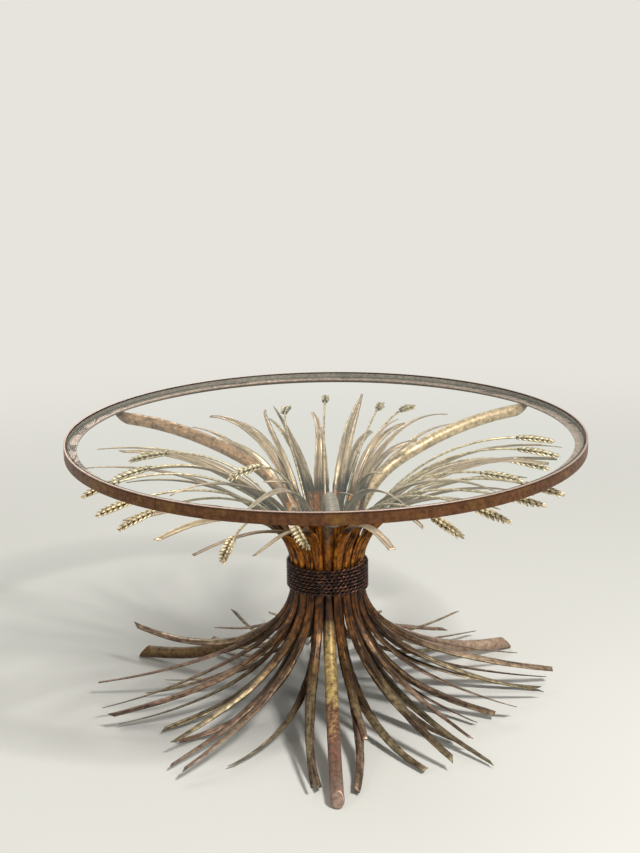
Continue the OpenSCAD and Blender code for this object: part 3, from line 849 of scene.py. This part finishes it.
# Binding rope
# Eight turns of iron wire rope, 4.8 mm thick and laid up from two strands, hold the bundle, over the hoop.
# Its upper end climbs from the last turn, springs out and stands free.
rope_d = 4.8 * mm
rope_turns = 8
rope_gap = 0.45 * mm
rope_pitch = rope_d + rope_gap
rope_start = -20
rope_end_rise = 7 * mm
rope_end_spring = 2 * mm
rope_end_turn = 0.125
coil_sides = 24
rope_r = (outer_r + leaf_crease + seat_gap + rope_d / 2) / math.cos(math.radians(180 / coil_sides))
rope_lay = 15 * mm
rope_steps = 300
strand_sides = 8
rope_inputs = {
    "Radius": rope_r,
    "Pitch": rope_pitch,
    "Strand": rope_d / 4,
    "Lay": rope_lay,
    "End rise": rope_end_rise,
    "End spring": rope_end_spring,
}


def laid_rope():
    """A tree that winds two strands round each other and, together, round the waist."""
    tree, given = started("laid_rope", Float=rope_inputs)
    number = add(tree, "GeometryNodeInputIndex")[0]
    turns = add(tree, "MULTIPLY", [number, 1 / rope_steps])[0]
    angle = add(tree, "MULTIPLY_ADD", [turns, 2 * math.pi, math.radians(rope_start)])[0]
    length = add(tree, "MULTIPLY", [turns, given["Radius"]])[0]
    wound = add(tree, "DIVIDE", [length, given["Lay"]])[0]
    low = add(tree, "MULTIPLY_ADD", [given["Pitch"], -rope_turns / 2, waist_z])[0]
    height = add(tree, "MULTIPLY_ADD", [turns, given["Pitch"], low])[0]
    late = ranged(tree, turns, (rope_turns - rope_end_turn, rope_turns))
    late = add(tree, "POWER", [late, 2.0])[0]
    height = add(tree, "MULTIPLY_ADD", [late, given["End rise"], height])[0]
    coil_r = add(tree, "MULTIPLY_ADD", [late, given["End spring"], given["Radius"]])[0]
    strands = []
    for phase in (0.0, math.pi):
        lay = add(tree, "MULTIPLY_ADD", [wound, (2 * math.pi) ** 2, phase])[0]
        swing = add(tree, "COSINE", [lay])[0]
        heave = add(tree, "SINE", [lay])[0]
        out = add(tree, "MULTIPLY_ADD", [swing, given["Strand"], coil_r])[0]
        up = add(tree, "MULTIPLY_ADD", [heave, given["Strand"], height])[0]
        flat = add(tree, "CombineXYZ", {0: out, 2: up})[0]
        place = add(tree, "VectorRotate", {"Vector": flat, "Angle": angle}, rotation_type="Z_AXIS")[0]
        line = add(tree, "GeometryNodeMeshLine", {"Count": rope_turns * rope_steps + 1})
        coil = add(tree, "GeometryNodeSetPosition", {"Geometry": line[0], "Position": place})
        strands.append(bar_along(tree, coil, given["Strand"], strand_sides))
    return finished(tree, given, *strands)


# Iron wire under a dark oxblood lacquer that shines, rubbed off on the crowns in patches of 7 mm; the rubbed
# crowns are lighter, partly wear and partly a painted highlight
oxblood_wire, tree, shader = new_finish("lacquered_iron_wire", Metallic=0.5, Roughness=0.28)
spot, _, radius = spot_on_table(tree)
wear = noise_at(tree, spot, 140.0, 5.0, 0.6)
outer = ranged(tree, radius, (rope_r + 0.7 * mm, rope_r + 2.2 * mm))
# The lighter crowns are partly worn lacquer and partly a painted highlight
crown_wear_and_highlight = ranged(tree, wear[0], (0.42, 0.66))
crown_wear_and_highlight = add(tree, "MULTIPLY", [crown_wear_and_highlight, outer])[0]
lacquer = coated(tree, linear("#120806"), (crown_wear_and_highlight, linear("#8e5a48")))
tree.links.new(lacquer, shader.inputs["Base Color"])

piece = grown("binding_rope_strands", laid_rope(), {**rope_inputs, "Finish": oxblood_wire})
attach(piece, "root")
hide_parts("binding_rope")

# Posts
# Three steel tubes, 19 mm outside, carry the rim. Each is bent out above the waist and below it, in a tight
# bend and then a long sweep, and its toe is cut on a slant and closed by a brazed plate.
post_r = 9.5 * mm
post_waist_r = 42.5 * mm
post_toe_r = 358 * mm
toe_bevel = math.radians(45)
end_bevel = math.radians(35)
plate_t = 1.5 * mm
rim_r = 386 * mm
rim_t = 3 * mm
band_r = rim_r - rim_t
ledge_t = 3 * mm
glass_depth = 8.5 * mm
glass_z = table_h - glass_depth
ledge_z = glass_z - ledge_t
post_sides = 32
bend_steps = 24
sweep_steps = 14
top_bend_r = 145 * mm
top_bend = math.radians(68)
top_sweep_r = 600 * mm
top_slope = math.radians(1)
low_bend_r = 90 * mm
low_bend = math.radians(48)
low_sweep_r = 430 * mm
low_slope = math.radians(7)
post_top_reach = math.sqrt(band_r**2 - post_r**2) - post_r / math.tan(end_bevel)
post_low_reach = post_toe_r - post_r / math.tan(toe_bevel)


def post_half(bend_r, bend_turn, sweep_r, slope, reach):
    """Half a post, from the waist outwards: how far out, how far up or down, and its lean, at each ring."""
    bend_out = bend_r * (1 - math.cos(bend_turn))
    sweep_out = sweep_r * (math.cos(bend_turn) - math.sin(slope))
    length = (reach - post_waist_r - bend_out - sweep_out) / math.cos(slope)
    sweep_turn = math.radians(90) - slope - bend_turn
    rings = []
    for i in range(bend_steps + 1):
        a = bend_turn * i / bend_steps
        rings.append((bend_r * (1 - math.cos(a)), bend_r * math.sin(a), a))
    out, rise, _ = rings[-1]
    for i in range(1, sweep_steps + 1):
        a = bend_turn + sweep_turn * i / sweep_steps
        swept = sweep_r * (math.cos(bend_turn) - math.cos(a))
        climbed = sweep_r * (math.sin(a) - math.sin(bend_turn))
        rings.append((out + swept, rise + climbed, a))
    out, rise, lean = rings[-1]
    rings.append((out + length * math.cos(slope), rise + length * math.sin(slope), lean))
    return rings


top_half = post_half(top_bend_r, top_bend, top_sweep_r, top_slope, post_top_reach)
low_half = post_half(low_bend_r, low_bend, low_sweep_r, low_slope, post_low_reach)
post_end_z = ledge_z - post_r * math.cos(top_slope) - post_r * math.sin(top_slope) / math.tan(end_bevel)
toe_z = post_r * math.cos(low_slope) + post_r * math.sin(low_slope) / math.tan(toe_bevel)
post_top_z = post_end_z - top_half[-1][1]
post_low_z = toe_z + low_half[-1][1]


def spun(place, turn):
    """A place of radius and height, turned about the table's axis."""
    return Vector((place[0] * math.cos(turn), place[0] * math.sin(turn), place[1]))


def post_ring(turn, middle, out, r, cut=0.0, offset=0.0):
    """One ring of a post. Its middle and its way out are radius and height; its end may be cut aslant."""
    across = Vector((-math.sin(turn), math.cos(turn), 0))
    way_out = spun(out, turn)
    centre = spun(middle, turn)
    way = way_out.cross(across)
    ring = []
    for j in range(post_sides):
        b = 2 * math.pi * j / post_sides
        rise = r * math.cos(b)
        ring.append(centre + way_out * rise + across * r * math.sin(b) + way * (cut * rise + offset))
    return ring


def place_on(side, out, rise, lean):
    """A ring's middle and its way out, above the waist where side is 1 and below it where side is -1."""
    start_z = post_top_z if side > 0 else post_low_z
    return (post_waist_r + out, start_z + side * rise), (math.cos(lean), -side * math.sin(lean))


def toe_ring(turn, r, offset):
    """A ring at the slanted toe of a post, moved back along it by an offset."""
    return post_ring(turn, *place_on(-1, *low_half[-1]), r, 1 / math.tan(toe_bevel), offset)


def shell(name, points, faces):
    """A new piece whose four-sided faces are smooth and whose other faces are flat."""
    mesh = bpy.data.meshes.new(name)
    mesh.from_pydata(points, [], faces)
    mesh.polygons.foreach_set("use_smooth", [len(f) == 4 for f in faces])
    mesh.validate()
    return new_piece(name, mesh)


def ringed(name, rings):
    """A closed piece through rings of as many points, with a flat cap at each end."""
    n = len(rings[0])
    points = [p for ring in rings for p in ring]
    faces = [
        (i * n + j, i * n + (j + 1) % n, (i + 1) * n + (j + 1) % n, (i + 1) * n + j)
        for i in range(len(rings) - 1)
        for j in range(n)
    ]
    faces += [tuple(reversed(range(n))), tuple(range(len(points) - n, len(points)))]
    return shell(name, points, faces)


# Drawn steel tube, gilded and rubbed by years of use: half metallic to the eye, with a mottle of 8 mm and
# clouds of 45 mm, and another worn colour on each post and on each half of it. Just below the waist it is
# painted nearly black with shade.
gilded_tube, tree, shader = new_finish("gilded_steel_tube", Metallic=0.5)
spot, split, _ = spot_on_table(tree)
height = split[2]
mottle = noise_at(tree, spot, 120.0, 7.0, 0.7)
clouds = noise_at(tree, spot, 22.0, 3.0, 0.6)
gold, rust, grey, olive, tan, orange, cream, dark, ember, bare = (
    mottled(tree, mottle, low, high)
    for low, high in (
        ("#6c4c2c", "#dcc07c"),
        ("#56362a", "#966856"),
        ("#665848", "#948470"),
        ("#3e3018", "#80603a"),
        ("#7c6450", "#bca088"),
        ("#6c5038", "#c49c74"),
        ("#86704c", "#dcc29a"),
        ("#120906", "#503018"),
        ("#4a2408", "#b87020"),
        ("#5e4a3e", "#96806e"),
    )
)

# The front post lies on the near side of the axis; the other two are told apart by left and right
is_front = add(tree, "LESS_THAN", [split[1], 0.0])[0]
is_right = add(tree, "GREATER_THAN", [split[0], 0.0])[0]
uneven = add(tree, "MULTIPLY_ADD", [clouds[0], 0.05, height])[0]
patchy = add(tree, "MULTIPLY_ADD", [mottle[0], 0.12, uneven])[0]
toe_share = ranged(tree, patchy, (130 * mm, 165 * mm), (1.0, 0.0))
is_high = add(tree, "GREATER_THAN", [height, waist_z])[0]
bare_share = ranged(tree, patchy, (105 * mm, 125 * mm), (0.9, 0.0))
near = coated(tree, gold, (toe_share, rust), (bare_share, bare), (is_high, grey))
far_low = coated(tree, olive, (is_right, tan))
far_high = coated(tree, orange, (is_right, cream))
# Painted shade: just below the waist, where the leaves crowd round it, the tube is nearly black; just above
# the waist it is amber
from_waist = add(tree, "SUBTRACT", [uneven, waist_z + 25 * mm])[0]
from_waist = add(tree, "ABSOLUTE", [from_waist])[0]
waist_share = ranged(tree, from_waist, (50 * mm, 100 * mm), (1.0, 0.0))
waist_shade_and_amber = coated(tree, dark, (is_high, ember))
skin = coated(tree, far_low, (is_high, far_high), (is_front, near), (waist_share, waist_shade_and_amber))
worn_surface(tree, shader, skin, mottle, 0.55, 0.36, 0.5 * mm, 0.3)

plate_l = plate_t / math.sin(toe_bevel)
bead = 0.3 * mm
for name, degrees in zip(("front", "right", "left"), post_turns):
    turn = math.radians(degrees)
    rings = [toe_ring(turn, post_r, plate_l)]
    for side, half in ((-1, low_half[-2::-1]), (1, top_half[:-1])):
        rings += [post_ring(turn, *place_on(side, *place), post_r) for place in half]
    rings.append(post_ring(turn, *place_on(1, *top_half[-1]), post_r, -1 / math.tan(end_bevel)))
    piece = ringed(f"post_{name}_tube", rings)
    piece.data.materials.append(gilded_tube)
    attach(piece, "root")
    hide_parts(f"post_{name}")

    # The plate's worn edge, then the bead of braze that stands round its joint with the tube
    rings = [
        toe_ring(turn, r, back * plate_l)
        for r, back in (
            (post_r * 0.82, 0.0),
            (post_r * 0.95, 0.25),
            (post_r, 0.6),
            (post_r + bead, 0.9),
            (post_r + bead, 1.1),
            (post_r - bead, 1.5),
        )
    ]
    piece = ringed(f"toe_plate_{name}_brazed", rings)
    piece.data.materials.append(gilded_tube)
    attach(piece, "root")
    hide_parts("toe_plates")

# Rim
# A T section of rolled steel, bent to a ring and welded: the band stands upright and the glass lies on the
# ledge inside it. The gilding is worn through to a pale pink along the upper edge.
rim_h = 18 * mm
ledge_w = 16 * mm
rim_low = table_h - rim_h
lathe_steps = 288
lathe_turns = [2 * math.pi * i / lathe_steps for i in range(lathe_steps)]


def rounded(corners, r, steps=3):
    """An outline with each corner turned into a small arc of about that radius."""
    outline = []
    for before, corner, after in zip(corners[-1:] + corners[:-1], corners, corners[1:] + corners[:1]):
        p = Vector(corner)
        a = p + (Vector(before) - p).normalized() * r
        b = p + (Vector(after) - p).normalized() * r
        for i in range(steps + 1):
            t = i / steps
            outline.append(a * (1 - t) ** 2 + p * 2 * t * (1 - t) + b * t * t)
    return outline


def turned_ring(name, outline):
    """A new ring of that outline of radius and height."""
    n = len(outline)
    points = [spun(place, turn) for turn in lathe_turns for place in outline]
    faces = []
    for i in range(lathe_steps):
        here = i * n
        there = (i + 1) % lathe_steps * n
        faces += [(here + j, there + j, there + (j + 1) % n, here + (j + 1) % n) for j in range(n)]
    return shell(name, points, faces)


section = [
    (band_r, rim_low),
    (rim_r, rim_low),
    (rim_r, table_h),
    (band_r, table_h),
    (band_r, glass_z),
    (band_r - ledge_w, glass_z),
    (band_r - ledge_w, ledge_z),
    (band_r, ledge_z),
]
edge_round = 0.6 * mm
piece = turned_ring("rim_band_rolled", rounded(section, edge_round))

# Rolled steel under thin, aged gilding, brown with golden clouds of 71 mm and a mottle of 8 mm
gilded_rim, tree, shader = new_finish("gilded_rolled_rim", Metallic=0.6)
spot, split, radius = spot_on_table(tree)
height = split[2]
mottle = noise_at(tree, spot, 130.0, 7.0, 0.7)
clouds = noise_at(tree, spot, 14.0, 4.0, 0.6)
brown = mottled(tree, mottle, "#462a16", "#744a2a")
golden = mottled(tree, mottle, "#66461a", "#8e6834")
gold_share = ranged(tree, clouds[0], (0.48, 0.66))
worn_line = add(tree, "MULTIPLY_ADD", [mottle[0], 1.6 * mm, height])
worn_share = ranged(tree, worn_line[0], (table_h - 0.6 * mm, table_h + 0.4 * mm), (0.0, 0.85))
dark_edge = (table_h - 3.4 * mm, table_h - 1.4 * mm)
under_edge = ranged(tree, worn_line[0], dark_edge, (0.0, 0.75), interpolation_type="SMOOTHSTEP")

# What shows through the glass, the ledge and the wall behind it, is rubbed to a pinkish grey, and the gap
# round the glass and the wall's top are nearly black with grime and painted shade
inside = add(tree, "LESS_THAN", [radius, band_r + 0.4 * mm])[0]
on_top = add(tree, "GREATER_THAN", [height, ledge_z + 1 * mm])[0]
inside = add(tree, "MULTIPLY", [inside, on_top])[0]
ledge = mottled(tree, mottle, "#867466", "#b8a494")
high = ranged(tree, height, (table_h - 2.6 * mm, table_h - 1.8 * mm))
gap = ranged(tree, radius, (band_r - 2.6 * mm, band_r - 2 * mm))
low = ranged(tree, height, (glass_z + 0.3 * mm, glass_z + 1 * mm), (1.0, 0.0))
gap = add(tree, "MULTIPLY", [gap, low])[0]
grime_and_shade = add(tree, "MAXIMUM", [high, gap])[0]
ledge = coated(tree, ledge, (grime_and_shade, linear("#1a120e")))
band = coated(tree, brown, (gold_share, golden), (under_edge, linear("#2a140a")))
skin = coated(tree, band, (worn_share, linear("#c0a494")), (inside, ledge))
worn_surface(tree, shader, skin, mottle, 0.55, 0.38, 0.5 * mm, 0.25)
piece.data.materials.append(gilded_rim)
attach(piece, "root")
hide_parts("rim_band")

# Glass top
# A disc of clear float glass, 8 mm thick. Its faces are nearly invisible, its ground edge is a soft grey
# green, and the edge's upper bevel is painted as a thin dark line of shade all round. It lies loose on the
# ledge, half a millimetre below the rim's upper edge, and lifts straight out.
glass_r = 381 * mm
glass_t = 8 * mm
edge_r = 1.2 * mm
inner_edge_r = glass_r - 4 * mm
glass_top_z = glass_z + glass_t
lower = [(inner_edge_r, glass_z), (glass_r, glass_z)]
upper = [(glass_r, glass_top_z), (inner_edge_r, glass_top_z)]
edge = [p for p in rounded(lower + upper, edge_r) if p[0] > glass_r - 2 * mm]
rings = [[spun(place, turn) for turn in lathe_turns] for place in edge]
piece = ringed("glass_disc", rings)

# Float glass, polished on its faces and ground dull on its edge and its bevel; the bevel is painted nearly
# black with shade and hides what is behind it
for name, tint, roughness, cover in (
    ("clear_float_glass", "#c0d4c8", 0.03, 0.05),
    ("ground_glass_edge", "#8a9a90", 0.3, 0.25),
    # The bevel's near black is painted shade
    ("ground_glass_bevel_painted_shade", "#222822", 0.4, 0.8),
):
    glass = new_finish(name, Base_Color=linear(tint), Roughness=roughness, IOR=1.5, Alpha=cover)[0]
    piece.data.materials.append(glass)
bevel_from = len(rings) // 2 * lathe_steps
for face in piece.data.polygons:
    if len(face.vertices) == 4:
        face.material_index = 2 if face.index >= bevel_from else 1
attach(piece, "glass")
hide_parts("glass_top")
